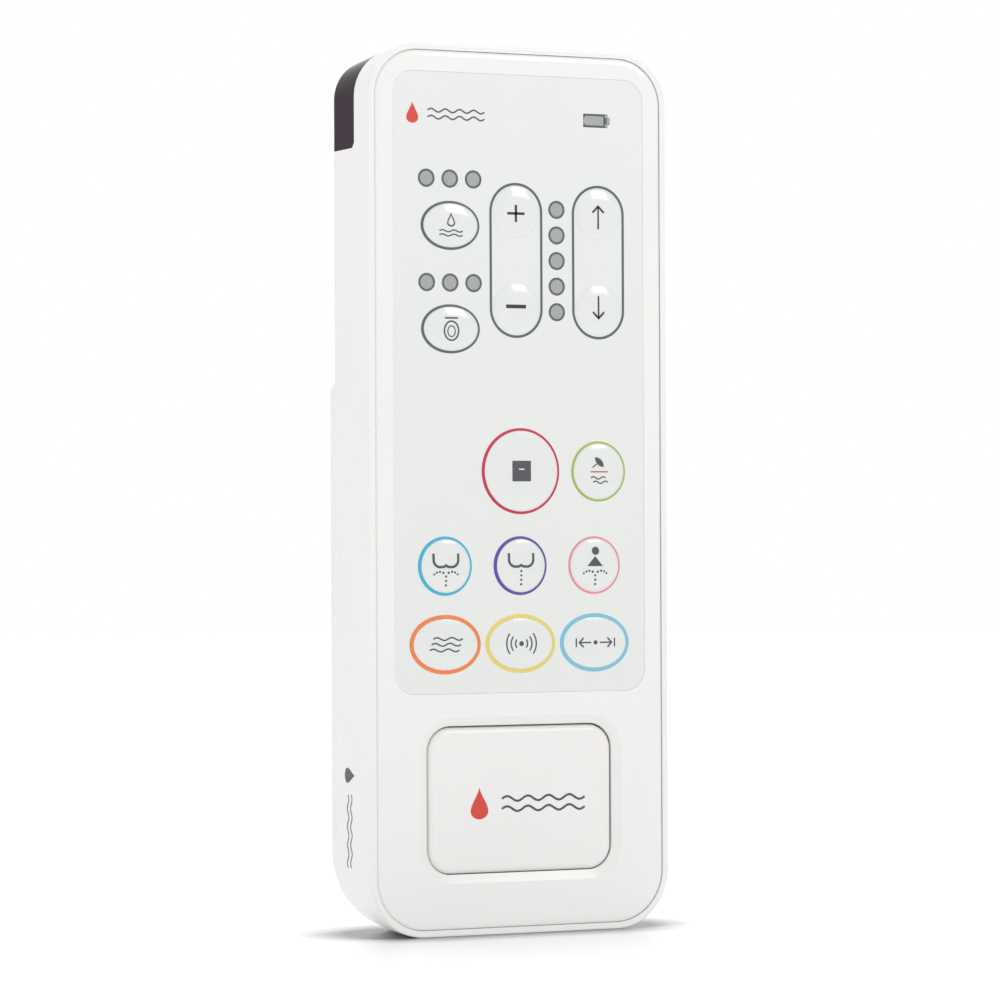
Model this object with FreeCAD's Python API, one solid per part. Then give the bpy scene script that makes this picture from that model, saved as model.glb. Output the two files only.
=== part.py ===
"""Hand-held wireless remote control of an electric bidet seat.

Frame: the remote stands upright on its bottom end. +X is to the right of
someone facing the keys, +Y runs from the key face to the back, +Z is up.
The origin is the bottom centre of the remote's bounding box.
Every shape is drawn with Y measured as depth behind the key face, and
save() moves it to that origin. All lengths are in millimetres.
"""
import FreeCAD, Part
import math
import os
from FreeCAD import Vector

# ---- driving sizes of the case -------------------------------------------
WIDTH = 67.5
HEIGHT = 181.0
BODY_DEPTH = 18.4          # key face to the back of the slim upper half
HUMP_DEPTH = 4.8           # how far the battery hump stands behind that
HUMP_TOP = 113.5
HUMP_INSET = 1.0           # step between the hump and the case side
KEY_PROUD = 0.5            # how far a key's dome stands out of the face
TOP_CORNER, BOTTOM_CORNER = 11.0, 12.0             # at the key face
BACK_TOP_CORNER, BACK_BOTTOM_CORNER = 8.2, 16.0    # at the back of the slim body
HUMP_CORNER = 16.5
TOP_TAPER = 2.4            # how far the top end slopes down towards the back
WALL = 2.2
BACK_WALL = 2.0
RIM = 1.35                 # rear shell's rim around the front cover
SEAM = 0.1                 # gap between two fixed parts inside
PARTING = 0.03             # gap between two fixed parts that shows outside
MOVING_GAP = 0.2           # gap beside a part that moves
BACK_EDGE = 1.5
FULL_DEPTH = BODY_DEPTH + HUMP_DEPTH
SUNK = 0.02                # drawn below the bottom end, then cut off flat

# ---- front cover and its label -------------------------------------------
COVER_THICK = 2.2
COVER_BEVEL = ((1.2, 0.0), (0.55, 0.08), (0.15, 0.25), (0.0, 0.5))   # inset and depth along its edge
LABEL_WIDTH = 56.7
LABEL_BOTTOM = 49.1
LABEL_HEIGHT = 126.15
LABEL_CORNER = 4.5
LABEL_DEPTH = 0.05
LABEL_THICK = 0.4
POCKET_DEPTH = LABEL_DEPTH + LABEL_THICK + 0.05

# ---- keys -----------------------------------------------------------------
KEY_TRAVEL = 0.45
DOME_RISE = KEY_PROUD + LABEL_DEPTH                # a key's edge is level with the label
FLANGE_LIP = 0.9
FLANGE_THICK = 0.8
FLANGE_DEPTH = COVER_THICK + SEAM
RING_TO_KEY = 0.45         # printed ring's middle line to the key's edge
COLUMN = 16.91             # spacing of the three function columns
MIDDLE_X = -0.2
PILL_LEFT_X, PILL_RIGHT_X = -0.8, 17.96
PILL_KEY = 5.1
STOP_Z, SPRAY_Z, DRY_Z = 94.3, 75.0, 59.1
WATER_Z, SEAT_Z = 144.1, 123.1
PLUS_Z, MINUS_Z = 147.2, 127.5
# name: centre x, centre z, half width, half height of the printed ring
KEYS = {
    "water_key": (-15.65, WATER_Z, 6.31, 4.73),
    "seat_key": (-15.65, SEAT_Z, 6.31, 4.73),
    "plus_key": (PILL_LEFT_X, PLUS_Z, PILL_KEY + RING_TO_KEY, PILL_KEY + RING_TO_KEY),
    "minus_key": (PILL_LEFT_X, MINUS_Z, PILL_KEY + RING_TO_KEY, PILL_KEY + RING_TO_KEY),
    "up_key": (PILL_RIGHT_X, PLUS_Z, PILL_KEY + RING_TO_KEY, PILL_KEY + RING_TO_KEY),
    "down_key": (PILL_RIGHT_X, MINUS_Z, PILL_KEY + RING_TO_KEY, PILL_KEY + RING_TO_KEY),
    "stop_key": (0.0, STOP_Z, 8.52, 8.52),
    "eco_key": (17.77, STOP_Z, 5.98, 5.98),
    "wash_key": (MIDDLE_X - COLUMN, SPRAY_Z, 5.73, 5.73),
    "rear_wash_key": (MIDDLE_X, SPRAY_Z, 5.73, 5.73),
    "front_wash_key": (MIDDLE_X + COLUMN, SPRAY_Z, 5.73, 5.73),
    "air_dry_key": (MIDDLE_X - COLUMN, DRY_Z, 7.54, 5.62),
    "massage_key": (MIDDLE_X, DRY_Z, 7.54, 5.62),
    "oscillate_key": (MIDDLE_X + COLUMN, DRY_Z, 7.54, 5.62),
}

# ---- large lower key and the dish around it -------------------------------
PANEL_WIDTH, PANEL_HEIGHT, PANEL_CORNER = 41.5, 29.75, 5.0
PANEL_BOTTOM = 12.5
PANEL_FACE = 0.5
PANEL_EDGE = 1.4
DISH_SLOPE = 1.8
DISH_DEPTH = 1.0
DISH_SHIFT = 0.1           # the opening sits this much higher than the key in it
COLLAR = 3.0
COLLAR_BACK = 3.3
PANEL_FLANGE = 2.0
PANEL_SKIN = 1.6
PANEL_POST = (12.0, 8.0)

# ---- indicator lamps ------------------------------------------------------
LAMP_RADIUS = 1.6
LAMP_STEP = 5.25
LAMP_ROW_X = -20.91
WATER_LAMPS_Z, SEAT_LAMPS_Z = 153.6, 132.5
LEVEL_X, LEVEL_TOP_Z = 8.44, 147.95
LAMP_BACK = 4.75
LAMP_GAP = 0.1
BATTERY_LAMP = (17.5, 166.6, 5.4, 2.6)   # x, z, width, height

# ---- key mat and circuit board, as depths behind the face ------------------
FLANGE_BACK = FLANGE_DEPTH + FLANGE_THICK
MAT_POST_TOP = FLANGE_BACK + KEY_TRAVEL + 0.1
MAT_FRONT, MAT_BACK = 4.3, 5.0
MAT_WIDTH, MAT_BOTTOM, MAT_TOP = 47.0, 50.0, 158.0
MAT_FOOT = 1.0
PAD_RADIUS, PAD_THICK = 1.8, 0.2
BOARD_FRONT, BOARD_BACK = 5.6, 7.2
BOARD_WIDTH, BOARD_BOTTOM, BOARD_TOP = 60.0, 17.0, 174.0
LED_SIZE = (1.6, 0.7, 0.8)

# ---- screws ----------------------------------------------------------------
CASE_SCREWS = ((26.0, 12.8), (27.0, 156.0))        # x and z, mirrored to both sides
BOARD_SCREWS = ((27.3, 67.0), (27.3, 112.0))
CASE_BOSS, CASE_SHANK, CASE_HEAD = 3.0, 1.25, 2.3
CASE_BOSS_BACK = 12.0
WELL_FLOOR = 14.0
WELL_RADIUS, WELL_WALL = 2.7, 1.5
BOARD_BOSS, BOARD_SHANK, BOARD_HEAD = 2.0, 0.8, 1.6

# ---- infrared window and emitters ------------------------------------------
WINDOW_FRONT = 7.1
WINDOW_END_Z = 159.9
WINDOW_THICK = 1.4
WINDOW_SEAM = 0.05
EMITTER_DEPTH = 11.4
EMITTER_RADIUS = 2.5

# ---- batteries, their bay and door ------------------------------------------
CELL_RADIUS, CELL_LENGTH, CELL_NUB = 5.2, 44.5, 0.8
CELL_X = 5.6
BAY_HALF_WIDTH, BAY_WALL = 11.4, 1.0
BAY_FRONT = 10.2
BAY_BOTTOM, BAY_LENGTH = 34.0, 50.6
CELL_DEPTH = BAY_FRONT + 0.1 + CELL_RADIUS
CONTACT_THICK = 0.4
SPRING_LENGTH = 4.4
DOOR_WIDTH, DOOR_HEIGHT, DOOR_BOTTOM, DOOR_CORNER = 34.0, 68.0, 27.0, 3.0
DOOR_THICK = 1.6
DOOR_SEAT = 1.7            # depth of the seat that the door lies in
LEDGE_THICK = 1.7
TOE_X, TOE_WIDTH, TOE_REACH = 9.0, 5.0, 2.2
LATCH_WIDTH = 8.0


# ---- drawing helpers --------------------------------------------------------
def outline(width, height, corner, depth, x=0.0, bottom=0.0, top_corner=None):
    """Rounded rectangle, upright, at one depth behind the face."""
    top_corner = corner if top_corner is None else top_corner
    middle_z = bottom + height / 2
    arcs, ends = [], []
    for sign_x, sign_z in ((1, -1), (1, 1), (-1, 1), (-1, -1)):
        radius = top_corner if sign_z > 0 else corner
        tip = Vector(x + sign_x * width / 2, depth, middle_z + sign_z * height / 2)
        beside = tip - Vector(sign_x * radius, 0, 0)
        upright = tip - Vector(0, 0, sign_z * radius)
        middle = tip - Vector(sign_x, 0, sign_z) * (radius * (1 - math.sqrt(0.5)))
        first, last = (beside, upright) if sign_x * sign_z < 0 else (upright, beside)
        arcs.append(Part.Arc(first, middle, last).toShape())
        ends.append((first, last))
    sides = [Part.makeLine(ends[i - 1][1], ends[i][0]) for i in range(4)]
    return Part.Wire(Part.__sortEdges__(arcs + sides))


def slab(width, height, corner, front, back, x=0.0, bottom=0.0, top_corner=None):
    """Rounded rectangle between two depths."""
    face = Part.Face(outline(width, height, corner, front, x, bottom, top_corner))
    return face.extrude(Vector(0, back - front, 0))


def block(width, height, front, back, x=0.0, bottom=0.0):
    """Square-cornered block between two depths, centred on x."""
    return Part.makeBox(width, back - front, height, Vector(x - width / 2, front, bottom))


def oval(half_width, half_height, x, z, front, back):
    """Round or elliptical disc between two depths."""
    centre = Vector(x, front, z)
    if abs(half_width - half_height) < 1e-6:
        curve = Part.Circle(centre, Vector(0, 1, 0), half_width)
    else:
        side, top = centre + Vector(half_width, 0, 0), centre + Vector(0, 0, half_height)
        curve = Part.Ellipse(side, top, centre)
    return Part.Face(Part.Wire(curve.toShape())).extrude(Vector(0, back - front, 0))


def disc(radius, x, z, front, back):
    return Part.makeCylinder(radius, back - front, Vector(x, front, z), Vector(0, 1, 0))


def edges_at(shape, depth):
    """The edges that lie wholly at one depth."""
    return [e for e in shape.Edges
            if abs(e.BoundBox.YMin - depth) < 1e-6 and abs(e.BoundBox.YMax - depth) < 1e-6]


def fused(shapes):
    whole = shapes[0]
    for other in shapes[1:]:
        whole = whole.fuse(other)
    return whole.removeSplitter()


def save(name, shape):
    """Move a shape to the remote's origin and write it as one sub-part."""
    shape = shape.copy()
    shape.translate(Vector(0, KEY_PROUD - (FULL_DEPTH + KEY_PROUD) / 2, 0))
    assert shape.isValid() and shape.Solids, name
    shape.exportStep(f"parts/{name}.step")


def mirrored(places):
    """Each place and its mirror image on the other side."""
    return [(side * x, z) for x, z in places for side in (-1, 1)]


# ---- keys and what they pass through ----------------------------------------
def key_sizes(name):
    """Centre and half sizes of a key's edge."""
    x, z, half_width, half_height = KEYS[name]
    return half_width - RING_TO_KEY, half_height - RING_TO_KEY, x, z


def key_cap(name):
    """Domed cap on a stem, with a wider flange that stays behind the cover."""
    half_width, half_height, x, z = key_sizes(name)
    stem = oval(half_width, half_height, x, z, -2 * KEY_PROUD, FLANGE_DEPTH + FLANGE_THICK / 2)
    dome_radius = (half_width ** 2 + DOME_RISE ** 2) / (2 * DOME_RISE)
    dome = Part.makeSphere(dome_radius, Vector(x, dome_radius - KEY_PROUD, z))
    flange = oval(half_width + FLANGE_LIP, half_height + FLANGE_LIP, x, z, FLANGE_DEPTH, FLANGE_BACK)
    return fused([stem.common(dome), flange])


def key_holes(front, back):
    holes = []
    for name in KEYS:
        half_width, half_height, x, z = key_sizes(name)
        holes.append(oval(half_width + MOVING_GAP, half_height + MOVING_GAP, x, z, front, back))
    return holes


def panel_key():
    """Large lower key: a shallow tray with a flange and a middle post."""
    face = slab(PANEL_WIDTH, PANEL_HEIGHT, PANEL_CORNER, PANEL_FACE, COLLAR_BACK + SEAM,
                bottom=PANEL_BOTTOM)
    face = face.makeFillet(PANEL_EDGE, edges_at(face, PANEL_FACE))
    back = COLLAR_BACK + SEAM + FLANGE_THICK
    flange = slab(PANEL_WIDTH + 2 * PANEL_FLANGE, PANEL_HEIGHT + 2 * PANEL_FLANGE,
                  PANEL_CORNER + PANEL_FLANGE, COLLAR_BACK + SEAM, back, bottom=PANEL_BOTTOM - PANEL_FLANGE)
    hollow = slab(PANEL_WIDTH - 2 * PANEL_FLANGE, PANEL_HEIGHT - 2 * PANEL_FLANGE,
                  PANEL_CORNER - PANEL_FLANGE, PANEL_FACE + PANEL_SKIN, back + 1,
                  bottom=PANEL_BOTTOM + PANEL_FLANGE)
    post_width, post_height = PANEL_POST
    post = block(post_width, post_height, PANEL_FACE + PANEL_SKIN, back,
                 bottom=PANEL_BOTTOM + PANEL_HEIGHT / 2 - post_height / 2)
    return fused([face.fuse(flange).cut(hollow), post])


def panel_pad():
    """Rubber pad on the board that the large key's post presses."""
    post_width, post_height = PANEL_POST
    front = COLLAR_BACK + SEAM + FLANGE_THICK + KEY_TRAVEL + 0.1
    return slab(post_width, post_height, 1.0, front, BOARD_FRONT,
                bottom=PANEL_BOTTOM + PANEL_HEIGHT / 2 - post_height / 2)


# ---- indicator lamps ----------------------------------------------------------
def row_lamps(z):
    return [(LAMP_ROW_X + i * LAMP_STEP, z) for i in range(3)]


def level_lamps():
    return [(LEVEL_X, LEVEL_TOP_Z - i * LAMP_STEP) for i in range(5)]


def all_lamps():
    return row_lamps(WATER_LAMPS_Z) + row_lamps(SEAT_LAMPS_Z) + level_lamps()


def light_guides(places):
    return Part.makeCompound([disc(LAMP_RADIUS, x, z, LABEL_DEPTH, LAMP_BACK) for x, z in places])


def battery_lamp(gap=0.0, front=LABEL_DEPTH, back=LAMP_BACK):
    """Light guide shaped as a small battery: a bar with a nub on its right end."""
    x, z, width, height = BATTERY_LAMP
    bar = block(width + 2 * gap, height + 2 * gap, front, back, x, z - height / 2 - gap)
    nub_height = height / 2
    nub = block(1.0, nub_height + 2 * gap, front, back, x + width / 2 + gap, z - nub_height / 2 - gap)
    return fused([bar, nub])


def lamp_holes(front, back):
    holes = [disc(LAMP_RADIUS + LAMP_GAP, x, z, front, back) for x, z in all_lamps()]
    return holes + [battery_lamp(LAMP_GAP, front, back)]


# ---- case ---------------------------------------------------------------------
def case_outline(inset, depth, sunk=0.0):
    """Outline of the slim body at one depth, drawn in by an inset. It tapers behind the cover."""
    share = max(0.0, depth - COVER_THICK) / (BODY_DEPTH - COVER_THICK)
    top_corner = TOP_CORNER + (BACK_TOP_CORNER - TOP_CORNER) * share
    bottom_corner = BOTTOM_CORNER + (BACK_BOTTOM_CORNER - BOTTOM_CORNER) * share
    return outline(WIDTH - 2 * inset, HEIGHT - TOP_TAPER * share - 2 * inset + sunk, bottom_corner - inset,
                   depth, bottom=inset - sunk, top_corner=top_corner - inset)


def case_block(inset, front, back, sunk=0.0):
    """Solid with the slim body's outline between two depths."""
    depths = [front] + [COVER_THICK] * (front < COVER_THICK < back) + [back]
    return Part.makeLoft([case_outline(inset, depth, sunk) for depth in depths], True, True)


def label():
    sheet = slab(LABEL_WIDTH, LABEL_HEIGHT, LABEL_CORNER, LABEL_DEPTH, LABEL_DEPTH + LABEL_THICK,
                 bottom=LABEL_BOTTOM)
    return sheet.cut(Part.makeCompound(key_holes(-1, 1) + lamp_holes(-1, 1)))


def panel_dish():
    """The sloped surround of the large key and its opening."""
    gap = MOVING_GAP
    bottom = PANEL_BOTTOM - gap + DISH_SHIFT
    opening = (PANEL_WIDTH + 2 * gap, PANEL_HEIGHT + 2 * gap, PANEL_CORNER + gap)
    wide = [size + 2 * DISH_SLOPE for size in opening[:2]]
    slope = Part.makeLoft([
        outline(*wide, opening[2] + DISH_SLOPE, 0.0, bottom=bottom - DISH_SLOPE),
        outline(*opening, DISH_DEPTH, bottom=bottom)], True, True)
    return slope.fuse(slab(*opening, DISH_DEPTH, COLLAR_BACK + 1, bottom=bottom))


def front_cover():
    """Glossy front panel: label pocket, key openings, dish, collar and screw bosses."""
    inset = RIM + PARTING
    bevel = Part.makeLoft([case_outline(inset + step, depth) for step, depth in COVER_BEVEL], True, True)
    plate = bevel.fuse(case_block(inset, COVER_BEVEL[-1][1], COVER_THICK))
    collar = slab(PANEL_WIDTH + 2 * COLLAR, PANEL_HEIGHT + 2 * COLLAR, PANEL_CORNER + COLLAR,
                  COVER_THICK, COLLAR_BACK, bottom=PANEL_BOTTOM - COLLAR)
    solids = [plate, collar]
    solids += [disc(CASE_BOSS, x, z, COVER_THICK, CASE_BOSS_BACK)
               for x, z in mirrored(CASE_SCREWS)]
    solids += [disc(BOARD_BOSS, x, z, COVER_THICK, BOARD_FRONT)
               for x, z in mirrored(BOARD_SCREWS)]
    pocket = slab(LABEL_WIDTH + 2 * PARTING, LABEL_HEIGHT + 2 * PARTING, LABEL_CORNER + PARTING, -1,
                  POCKET_DEPTH, bottom=LABEL_BOTTOM - PARTING)
    pilots = [disc(CASE_SHANK + 0.05, x, z, COVER_THICK + 1.5, CASE_BOSS_BACK + 1)
              for x, z in mirrored(CASE_SCREWS)]
    pilots += [disc(BOARD_SHANK + 0.05, x, z, COVER_THICK + 0.6, BOARD_FRONT + 1)
               for x, z in mirrored(BOARD_SCREWS)]
    cuts = [pocket, panel_dish()] + key_holes(-1, COVER_THICK + 1) + lamp_holes(-1, COVER_THICK + 1) + pilots
    return fused(solids).cut(Part.makeCompound(cuts))


def case_outside():
    """Slim body, rounded along its back edge and eased along its front rim."""
    body = case_block(0, 0, BODY_DEPTH, SUNK)
    body = body.makeFillet(BACK_EDGE, edges_at(body, BODY_DEPTH))
    return body.makeFillet(RIM / 3, edges_at(body, 0.0))


def hump():
    hump_width = WIDTH - 2 * HUMP_INSET
    shape = slab(hump_width, HUMP_TOP + SUNK, HUMP_CORNER, BODY_DEPTH - BACK_WALL, FULL_DEPTH,
                 bottom=-SUNK, top_corner=DOOR_CORNER)
    return shape.makeFillet(BACK_EDGE, edges_at(shape, FULL_DEPTH))


def window_space(gap):
    """The band that the infrared window takes out of the case's top."""
    inner = case_block(WINDOW_THICK + gap, 0, FULL_DEPTH)
    front, end = WINDOW_FRONT - gap, WINDOW_END_Z - gap
    reach = block(WIDTH + 2, HEIGHT, front, BODY_DEPTH + 1, bottom=end)
    lower = [e for e in reach.Edges if e.BoundBox.ZMax < end + 1e-6 and e.BoundBox.XLength > WIDTH
             and e.BoundBox.YMax < WINDOW_FRONT + 1e-6]
    return reach.makeChamfer(1.0, lower).cut(inner)


def battery_bay():
    """Solid block the size of the bay with its walls, and the space inside it."""
    outer = block(2 * (BAY_HALF_WIDTH + BAY_WALL), BAY_LENGTH + 2 * BAY_WALL, BAY_FRONT - BAY_WALL,
                  FULL_DEPTH - BACK_WALL, bottom=BAY_BOTTOM - BAY_WALL)
    inner = block(2 * BAY_HALF_WIDTH, BAY_LENGTH, BAY_FRONT, FULL_DEPTH + 1, bottom=BAY_BOTTOM)
    return outer, inner


def rear_shell():
    """Deep tub with the battery hump, bay, door seat and screw wells."""
    cavity = case_block(WALL, -1, BODY_DEPTH - BACK_WALL)
    rim = case_block(RIM, -1, COVER_THICK)
    side = HUMP_INSET + WALL
    hump_cavity = slab(WIDTH - 2 * side, HUMP_TOP - 2 * WALL, HUMP_CORNER - WALL,
                       BODY_DEPTH - BACK_WALL - 1, FULL_DEPTH - BACK_WALL, bottom=WALL, top_corner=1.0)
    below = block(WIDTH + 2, 1.0, -1, FULL_DEPTH + 1, bottom=-1.0)
    shell = fused([case_outside(), hump()]).cut(below).cut(cavity).cut(rim).cut(hump_cavity)
    bay_outer, bay_inner = battery_bay()
    ledge_front = FULL_DEPTH - DOOR_SEAT - LEDGE_THICK
    ledge = slab(DOOR_WIDTH + 4, DOOR_HEIGHT + 4, DOOR_CORNER, ledge_front, FULL_DEPTH - BACK_WALL,
                 bottom=DOOR_BOTTOM - 2)
    wells, bores = screw_wells()
    shell = fused([shell, bay_outer, ledge] + wells)
    gap = MOVING_GAP
    seat = slab(DOOR_WIDTH + 2 * gap, DOOR_HEIGHT + 2 * gap, DOOR_CORNER + gap, FULL_DEPTH - DOOR_SEAT,
                FULL_DEPTH + 1, bottom=DOOR_BOTTOM - gap)
    latch_room = block(LATCH_WIDTH + 2 * gap, 4.0, ledge_front - 1, FULL_DEPTH - DOOR_SEAT + 1,
                       bottom=DOOR_BOTTOM + DOOR_HEIGHT - 3.8)
    toe_rooms = [block(TOE_WIDTH + 4 * gap, TOE_REACH + 0.4 + 3.8, ledge_front - 1, FULL_DEPTH - BACK_WALL,
                       x, DOOR_BOTTOM - TOE_REACH - 0.4) for x in (-TOE_X, TOE_X)]
    toe_rooms += [block(TOE_WIDTH + 4 * gap, 3.8, ledge_front - 1, FULL_DEPTH - DOOR_SEAT + 1, x,
                        DOOR_BOTTOM) for x in (-TOE_X, TOE_X)]
    tails = [block(2.6, 1.2, BAY_FRONT - 2, BAY_FRONT + 1, x, BAY_BOTTOM + BAY_LENGTH - 1.0)
             for x in (-CELL_X, CELL_X)]
    light_gate = block(WIDTH + 2, HEIGHT, WINDOW_FRONT + 1.5, BODY_DEPTH - BACK_WALL - 1.2,
                       bottom=WINDOW_END_Z + 3)
    cuts = [bay_inner, seat, latch_room, window_space(WINDOW_SEAM), light_gate] + toe_rooms + tails + bores
    for cut in cuts:
        shell = shell.cut(cut)
    return shell.removeSplitter()


def screw_wells():
    """Posts for the case screws, and the stepped bores through them."""
    posts, bores = [], []
    for x, z in mirrored(CASE_SCREWS):
        back = FULL_DEPTH if z < HUMP_TOP else BODY_DEPTH
        posts.append(disc(WELL_RADIUS + WELL_WALL, x, z, CASE_BOSS_BACK, back - BACK_WALL))
        bores.append(disc(WELL_RADIUS, x, z, WELL_FLOOR, back + 1))
        bores.append(disc(CASE_SHANK + 0.2, x, z, CASE_BOSS_BACK - 1, WELL_FLOOR + 1))
    return posts, bores


def infrared_window():
    return window_space(0.0).common(case_outside())


# ---- inside ---------------------------------------------------------------------
def key_mat():
    """Rubber sheet with a post behind every key and feet that stand on the board."""
    height = MAT_TOP - MAT_BOTTOM
    sheet = slab(MAT_WIDTH, height, 2.0, MAT_FRONT, MAT_BACK, bottom=MAT_BOTTOM)
    posts = [disc(PAD_RADIUS + 0.6, x, z, MAT_POST_TOP, MAT_FRONT) for x, z, _, _ in KEYS.values()]
    feet = slab(MAT_WIDTH, height, 2.0, MAT_BACK, BOARD_FRONT, bottom=MAT_BOTTOM).cut(
        slab(MAT_WIDTH - 2 * MAT_FOOT, height - 2 * MAT_FOOT, 1.0, MAT_BACK, BOARD_FRONT,
             bottom=MAT_BOTTOM + MAT_FOOT))
    holes = [disc(LAMP_RADIUS + 2 * LAMP_GAP, x, z, 0, BOARD_FRONT + 1) for x, z in all_lamps()]
    return fused([sheet, feet] + posts).cut(Part.makeCompound(holes))


def contact_pads():
    """Carbon pads on the back of the mat, one behind every key."""
    return Part.makeCompound([disc(PAD_RADIUS, x, z, MAT_BACK, MAT_BACK + PAD_THICK)
                              for x, z, _, _ in KEYS.values()])


def main_board():
    board = slab(BOARD_WIDTH, BOARD_TOP - BOARD_BOTTOM, 2.0, BOARD_FRONT, BOARD_BACK, bottom=BOARD_BOTTOM)
    holes = [disc(CASE_BOSS + 0.3, x, z, 0, BOARD_BACK + 1) for x, z in mirrored(CASE_SCREWS)]
    holes += [disc(BOARD_SHANK + 0.2, x, z, 0, BOARD_BACK + 1) for x, z in mirrored(BOARD_SCREWS)]
    return board.cut(Part.makeCompound(holes))


def board_leds():
    """One small lamp on the board behind every light guide."""
    width, thick, height = LED_SIZE
    places = all_lamps() + [BATTERY_LAMP[:2]]
    return Part.makeCompound([block(width, height, BOARD_FRONT - thick, BOARD_FRONT, x, z - height / 2)
                              for x, z in places])


def emitter(x, z, tilt):
    """Round infrared lamp, tilted in the plane of the board, on two bent leads."""
    base = Vector(x, EMITTER_DEPTH, z)
    up = Vector(0, 0, 1)
    barrel = Part.makeCylinder(EMITTER_RADIUS, 5.0, base, up)
    foot = Part.makeCylinder(EMITTER_RADIUS + 0.4, 1.0, base, up)
    nose = Part.makeSphere(EMITTER_RADIUS, base + up * 5.0)
    lamp = fused([barrel, foot, nose])
    lamp.rotate(base, Vector(0, 1, 0), tilt)
    leads = []
    for side in (-1.27, 1.27):
        leads.append(block(0.5, 5.5, EMITTER_DEPTH - 0.25, EMITTER_DEPTH + 0.25, x + side, z - 3.0))
        leads.append(block(0.5, 0.5, BOARD_BACK, EMITTER_DEPTH + 0.25, x + side, z - 3.0))
    return fused([lamp] + leads)


def infrared_emitters():
    return Part.makeCompound([emitter(-23.0, 168.0, -50), emitter(0.0, 168.0, 0), emitter(23.0, 168.0, 50)])


def controller_chip():
    """Flat square chip with legs on two sides."""
    size, thick, z = 12.0, 1.8, 136.0
    leg_length, leg_width, leg_step = 1.6, 0.5, 1.45
    shapes = [block(size, size, BOARD_BACK + 0.2, BOARD_BACK + thick, 0.0, z)]
    for i in range(8):
        leg_z = z + 0.7 + i * leg_step
        shapes += [block(leg_length, leg_width, BOARD_BACK, BOARD_BACK + 0.5, x, leg_z)
                   for x in (-(size + 1.0) / 2, (size + 1.0) / 2)]
    return fused(shapes)


def crystal():
    return slab(10.0, 3.6, 1.7, BOARD_BACK, BOARD_BACK + 3.4, 16.0, 138.0)


def capacitor():
    return Part.makeCylinder(3.15, 8.0, Vector(-17.0, BOARD_BACK + 3.15, 134.0), Vector(0, 0, 1))


def emitter_driver():
    """Small flat-fronted transistor that switches the emitters."""
    can = Part.makeCylinder(2.4, 4.6, Vector(12.0, BOARD_BACK + 2.0, 154.0), Vector(0, 0, 1))
    return can.common(block(6.0, 6.0, BOARD_BACK, BOARD_BACK + 5.0, 12.0, 153.0))


def battery(x, points_up):
    """Slim round cell with a contact nub on its positive end."""
    bottom = BAY_BOTTOM + (BAY_LENGTH - CELL_LENGTH - CONTACT_THICK if points_up else CONTACT_THICK)
    body_bottom = bottom if points_up else bottom + CELL_NUB
    can = Part.makeCylinder(CELL_RADIUS, CELL_LENGTH - CELL_NUB, Vector(x, CELL_DEPTH, body_bottom))
    can = can.makeFillet(0.5, [e for e in can.Edges if e.BoundBox.ZLength < 1e-6])
    nub_z = bottom + CELL_LENGTH - CELL_NUB if points_up else bottom
    return fused([can, Part.makeCylinder(1.9, CELL_NUB, Vector(x, CELL_DEPTH, nub_z))])


def contact_plates():
    """Two separate plates at the bay's top end, with tails to the board, and one bridge below."""
    top = BAY_BOTTOM + BAY_LENGTH
    depths = (CELL_DEPTH - 4.0, CELL_DEPTH + 4.0)
    plates = []
    for x in (-CELL_X, CELL_X):
        plate = block(8.0, CONTACT_THICK, *depths, x, top - CONTACT_THICK)
        tail = block(2.0, CONTACT_THICK, BOARD_BACK, depths[0], x, top - CONTACT_THICK)
        plates.append(fused([plate, tail]))
    plates.append(block(19.0, CONTACT_THICK, *depths, 0.0, BAY_BOTTOM))
    return Part.makeCompound(plates)


def coil(x, bottom):
    """Compression spring between a cell's flat end and its contact plate."""
    wire_radius, coil_radius, turns = 0.3, 2.6, 4
    height = SPRING_LENGTH - 2 * wire_radius
    helix = Part.makeHelix(height / turns, height, coil_radius)
    start = Part.Circle(Vector(coil_radius, 0, 0), Vector(0, 1, 0), wire_radius)
    spring = Part.Wire(helix.Edges).makePipeShell([Part.Wire(start.toShape())], True, True)
    spring.translate(Vector(x, CELL_DEPTH, bottom + wire_radius))
    return spring


def contact_springs():
    low = BAY_BOTTOM + CONTACT_THICK + 0.05
    high = BAY_BOTTOM + BAY_LENGTH - CONTACT_THICK - SPRING_LENGTH - 0.05
    return Part.makeCompound([coil(CELL_X, low), coil(-CELL_X, high)])


def battery_door():
    """Door that tilts out about its lower edge on two toes, with a latch and a grip on top."""
    back, front = FULL_DEPTH, FULL_DEPTH - DOOR_THICK
    plate = slab(DOOR_WIDTH, DOOR_HEIGHT, DOOR_CORNER, front, back, bottom=DOOR_BOTTOM)
    grip = slab(16.0, 7.0, 3.4, back - 0.8, back + 1, bottom=DOOR_BOTTOM + DOOR_HEIGHT - 11.0)
    solids = [plate.cut(grip)]
    solids += [block(13.0, 0.7, back - 0.9, back - 0.25, bottom=DOOR_BOTTOM + DOOR_HEIGHT - 9.6 + i * 1.8)
               for i in range(3)]
    toe_front, toe_back = FULL_DEPTH - 3.1, FULL_DEPTH - BACK_WALL - 0.15
    for x in (-TOE_X, TOE_X):
        solids.append(block(TOE_WIDTH, TOE_REACH + 1.5, toe_front, toe_back, x, DOOR_BOTTOM - TOE_REACH))
        solids.append(block(TOE_WIDTH, 1.3, toe_front, front + 0.1, x, DOOR_BOTTOM + 0.2))
    solids.append(block(LATCH_WIDTH, 1.8, FULL_DEPTH - 3.1, front + 0.1,
                        bottom=DOOR_BOTTOM + DOOR_HEIGHT - 2.2))
    return fused(solids)


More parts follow.
